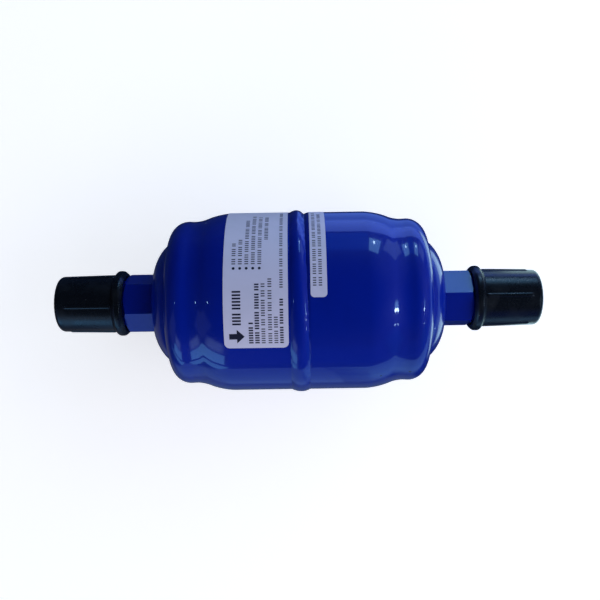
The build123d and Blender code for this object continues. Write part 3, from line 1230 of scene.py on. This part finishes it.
def flat_square(name: str, half: float, height: float = 0.0) -> bpy.types.Object:
    """Add a flat square to the scene, in metres.

    Args:
        name: Its name.
        half: Half its width.
        height: Its height above its own origin.

    Returns:
        The square.
    """
    bm = bmesh.new()
    bmesh.ops.create_grid(bm, x_segments=1, y_segments=1, size=half)
    bmesh.ops.translate(bm, verts=bm.verts[:], vec=(0, 0, height))
    mesh = bpy.data.meshes.new(name)
    bm.to_mesh(mesh)
    bm.free()
    square = bpy.data.objects.new(name, mesh)
    bpy.context.scene.collection.objects.link(square)
    return square


def empty_material(name: str) -> tuple[Material, Canvas, Socket]:
    """Begin a material without a shader.

    Args:
        name: The material's name.

    Returns:
        The material, its canvas and the socket that takes its shader.
    """
    material = bpy.data.materials.new(name)
    material.use_nodes = True
    nodes = material.node_tree.nodes
    nodes.remove(nodes["Principled BSDF"])
    return material, Canvas(material.node_tree), nodes["Material Output"].inputs["Surface"]


@dataclass(frozen=True)
class Softbox:
    """An area light that faces the drier and lights it without showing in its gloss."""

    name: str
    azimuth: float
    elevation: float
    colour: Colour
    distance: float = 1.2
    size: float = 0.9

    def build(self) -> None:
        """Place the light at its direction."""
        light = bpy.data.lights.new(self.name, "AREA")
        light.size = self.size
        light.color = self.colour
        light.energy = 4 * self.size**2
        lamp = bpy.data.objects.new(self.name, light)
        bpy.context.scene.collection.objects.link(lamp)
        away = towards(self.azimuth, self.elevation)
        lamp.location = away * self.distance
        lamp.rotation_euler = away.to_track_quat("Z", "Y").to_euler()
        lamp.visible_camera = lamp.visible_glossy = False


@dataclass(frozen=True)
class Card:
    """A soft-edged panel that shows only in gloss: a window or lamp of the room, or a wall or patch of its
    floor whose light and shade are painted into its glow.
    """

    name: str
    colour: Colour
    sides: Pair = (0.0, 0.0)
    heights: Pair = (0.0, 0.0)
    floor: Optional[tuple[float, float, float, float]] = None
    distance: float = 2.0
    soft: float = 0.3

    def build(self) -> None:
        """Place the panel by its azimuths and elevations, in degrees, or on its floor patch, in metres."""
        panel = flat_square(self.name, 1.0)
        if self.floor:
            left, right, near, far = self.floor
            panel.location = ((left + right) / 2, (near + far) / 2, cad_box[0].z - 0.1 * MM)
            panel.scale = ((right - left) / 2, (far - near) / 2, 1)
        else:
            away = towards(sum(self.sides) / 2, sum(self.heights) / 2)
            panel.location = away * self.distance
            panel.rotation_euler = away.to_track_quat("Z", "Y").to_euler()
            spread = [math.tan(math.radians(high - low) / 2) for low, high in (self.sides, self.heights)]
            panel.scale = (spread[0] * self.distance, spread[1] * self.distance, 1)
        panel.visible_camera = panel.visible_diffuse = panel.visible_shadow = False
        panel.visible_transmission = panel.visible_volume_scatter = False
        panel.data.materials.append(self.glow())

    def glow(self) -> Material:
        """The panel's light, which fades towards its edges."""
        material, canvas, surface = empty_material(self.name)
        axes = canvas.node("SeparateXYZ")
        canvas.join(canvas.node("TexCoord").outputs["Object"], axes.inputs[0])
        sides = [canvas.result("ABSOLUTE", axes.outputs[i]) for i in (0, 1)]
        fades = [canvas.ramp(side, 1.0, 1.0 - self.soft) for side in sides]
        light = canvas.node("Emission", Color=(*self.colour, 1.0))
        canvas.join(canvas.result("MULTIPLY", *fades), light.inputs["Strength"])
        clear, shown = canvas.node("BsdfTransparent"), canvas.node("AddShader")
        canvas.join(light.outputs[0], shown.inputs[0])
        canvas.join(clear.outputs[0], shown.inputs[1])
        canvas.join(shown.outputs[0], surface)
        return material


SOFTBOXES = (
    Softbox("light_back", 72, 18, (0.45, 0.75, 1.15)),
    Softbox("light_back_right", 35, 30, (1.0, 1.2, 1.55)),
    Softbox("light_right", -15, 35, (1.3, 1.4, 1.75)),
    Softbox("light_right_low", 0, 5, (1.3, 1.4, 1.75)),
    Softbox("light_front_right", -60, 25, (0.7, 0.7, 0.82)),
    Softbox("light_front", -115, 10, (1.55, 1.6, 1.75)),
    Softbox("light_left", 180, 35, (0.12, 0.12, 0.14)),
)
# Windows and lamps glow as lamps do; the walls and floor patches are painted reflections, with the room's
# light and shade painted into their glow.
CARDS = (
    Card("window_left", (0.45, 1.25, 2.4), (-136, -104), (-9, 15), soft=0.15),
    Card("window_left_upper", (0.45, 0.7, 1.1), (-136, -104), (13, 33), soft=0.7),
    Card("wall_left", (0.0, 0.02, 0.3), (-102, -60), (-2, 30)),
    Card("wall_right", (0.0, 0.06, 0.18), (-60, -26), (-2, 30)),
    Card("lamp", (25.0, 35.0, 45.0), (-20.5, -14.5), (36.3, 40.3), soft=0.6),
    Card("lamp_weak", (5.0, 8.0, 12.0), (-36, -32), (28.6, 31.6), soft=0.6),
    Card("lamp_glow", (1.5, 3.2, 5.5), (-18, -3), (35.5, 43), soft=0.9),
    Card("window_back", (0.7, 1.75, 3.1), (65, 81), (7, 30), soft=0.2),
    Card("spot_back", (10.0, 14.0, 18.0), (71.5, 74.5), (11, 17), soft=0.5),
    Card("screen_back", (0.3, 0.5, 0.9), (38, 62), (-3, 21), soft=0.15),
    Card("edge_back", (0.0, 0.1, 0.9), (81, 92), (-3, 30)),
    Card("wall_far_left", (0.09, 0.13, 0.3), (-164, -137), (-3, 48)),
    Card("lamp_left", (8.0, 14.0, 20.0), (-177, -174), (51.0, 52.5), soft=0.6),
    Card("floor_front", (0.15, 0.28, 0.55), floor=(-0.13, 0.45, -0.5, -0.07), soft=0.1),
    # Painted shadow: a dim floor patch close in front of the drier, where its shadow falls, seen only in
    # gloss.
    Card("floor_front_painted_shadow", (0.07, 0.1, 0.14), floor=(-0.1, 0.06, -0.1, -0.035), soft=0.12),
    Card("floor_front_right", (0.12, 0.3, 0.5), floor=(0.02, 0.4, -0.5, -0.07), soft=0.2),
    # Painted light: a pool of window light on the floor in front, seen only in gloss.
    Card("floor_window_left", (0.35, 1.0, 1.9), floor=(-0.45, -0.11, -0.7, -0.25), soft=0.08),
    # Painted shade: the floor just behind the drier glows dimmer than the floor further back, seen only in
    # gloss.
    Card("floor_back_painted_shade", (0.12, 0.25, 0.9), floor=(0.0, 0.1, 0.055, 0.14), soft=0.15),
    Card("floor_back_far", (0.35, 0.65, 2.2), floor=(0.0, 0.25, 0.1, 0.85), soft=0.1),
    # Painted light: a bright pool of window light on the floor beyond the outlet end, seen only in gloss.
    Card("floor_right", (1.1, 1.7, 1.9), floor=(0.088, 0.17, -0.06, 0.11), soft=0.25),
    Card("floor_right_far", (0.2, 0.4, 0.8), floor=(0.15, 0.5, -0.1, 0.2), soft=0.2),
    # Painted shade: a dim grey floor patch close beside the inlet end, seen only in gloss.
    Card("floor_left", (0.1, 0.1, 0.1), floor=(-0.3, -0.055, -0.065, 0.03)),
)


@dataclass
class Studio:
    """Floor, world, lights and camera, in metres and degrees, and the focal length in picture widths."""

    lights: Sequence[Softbox] = SOFTBOXES
    cards: Sequence[Card] = CARDS
    floor_size: float = 6.0
    floor_grey: float = 0.8
    floor_gap: float = 0.2 * MM
    glow_near: float = 0.6
    glow_far: float = 1.0
    glow_reach: Pair = (0.2, 2.4)
    floor_in_gloss: Colour = (0.01, 0.02, 0.06)
    world_in_gloss: float = 0.005
    ambient: float = 0.08
    camera_elevation: float = 87.0
    camera_roll: float = 0.88
    camera_distance: float = 0.28
    camera_shift: Pair = (0.5 * MM, 0.25 * MM)
    sensor_in_millimetres: float = 36.0
    focal_in_widths: float = 736.0 / 600

    def build(self) -> None:
        """Make the studio."""
        self.floor()
        self.world()
        for light in (*self.lights, *self.cards):
            light.build()
        self.camera()
        bpy.context.scene.view_settings.view_transform = "Standard"

    def floor(self) -> None:
        """A pale floor under the drier's lowest point; the camera sees it white, with the shadow kept."""
        floor = flat_square("floor", self.floor_size / 2, cad_box[0].z - self.floor_gap)
        material, canvas, surface = empty_material("pale_floor")
        matt = canvas.node("BsdfDiffuse", Color=(self.floor_grey, self.floor_grey, self.floor_grey, 1.0))
        glow = canvas.node("Emission", Color=(1.0, 1.0, 1.0, 1.0))
        dim = canvas.node("Emission", Color=(*self.floor_in_gloss, 1.0), Strength=1.0)
        seen, reach = canvas.node("LightPath"), canvas.node("VectorMath", operation="LENGTH")
        canvas.join(canvas.node("TexCoord").outputs["Object"], reach.inputs[0])
        away = canvas.ramp(reach.outputs["Value"], *self.glow_reach)
        fade = canvas.blend(away, self.glow_near, self.glow_far, colour=False)
        clear = canvas.result("MAXIMUM", seen.outputs["Is Camera Ray"], seen.outputs["Is Transmission Ray"])
        canvas.join(canvas.result("MULTIPLY", clear, fade), glow.inputs["Strength"])
        both, shown = canvas.node("AddShader"), canvas.node("MixShader")
        canvas.join(matt.outputs[0], both.inputs[0])
        canvas.join(glow.outputs[0], both.inputs[1])
        canvas.join(seen.outputs["Is Glossy Ray"], shown.inputs[0])
        canvas.join(both.outputs[0], shown.inputs[1])
        canvas.join(dim.outputs[0], shown.inputs[2])
        canvas.join(shown.outputs[0], surface)
        floor.data.materials.append(material)

    def world(self) -> None:
        """White to the camera, a soft fill for the surfaces and a dim room in reflections."""
        world = bpy.data.worlds.new("studio")
        bpy.context.scene.world = world
        world.use_nodes = True
        canvas = Canvas(world.node_tree)
        back = world.node_tree.nodes["Background"]
        back.inputs["Color"].default_value = (1.0, 1.0, 1.0, 1.0)
        seen = canvas.node("LightPath")
        clear = canvas.result("MAXIMUM", seen.outputs["Is Camera Ray"], seen.outputs["Is Transmission Ray"])
        shown = canvas.blend(clear, self.ambient, 1.0, colour=False)
        shown = canvas.blend(seen.outputs["Is Glossy Ray"], shown, self.world_in_gloss, colour=False)
        canvas.join(shown, back.inputs["Strength"])

    def camera(self) -> None:
        """A camera nearly straight above the drier, turned a little."""
        back = towards(-90.0, self.camera_elevation)
        data = bpy.data.cameras.new("camera")
        data.sensor_width = self.sensor_in_millimetres
        data.lens = self.focal_in_widths * self.sensor_in_millimetres
        data.clip_start, data.clip_end = 0.01, 20.0
        camera = bpy.data.objects.new("camera", data)
        bpy.context.scene.collection.objects.link(camera)
        camera.location = back * self.camera_distance + Vector((*self.camera_shift, 0))
        roll = Matrix.Rotation(-math.radians(self.camera_roll), 3, "Z")
        turn = back.to_track_quat("Z", "Y").to_matrix() @ roll
        camera.rotation_euler = turn.to_euler()
        bpy.context.scene.camera = camera


def main() -> None:
    """Build the drier's looks and the studio."""
    logging.basicConfig(level=logging.INFO, format="%(name)s: %(message)s")
    finishes = Finishes()
    for part in (
        HalfShells(finishes),
        GirthWeld(finishes),
        FlareFittings(finishes),
        PushOnCaps(finishes),
        main_label(finishes),
        side_label(finishes),
        InnerPieces(finishes),
        Studio(),
    ):
        part.build()


if __name__ == "__main__":
    main()
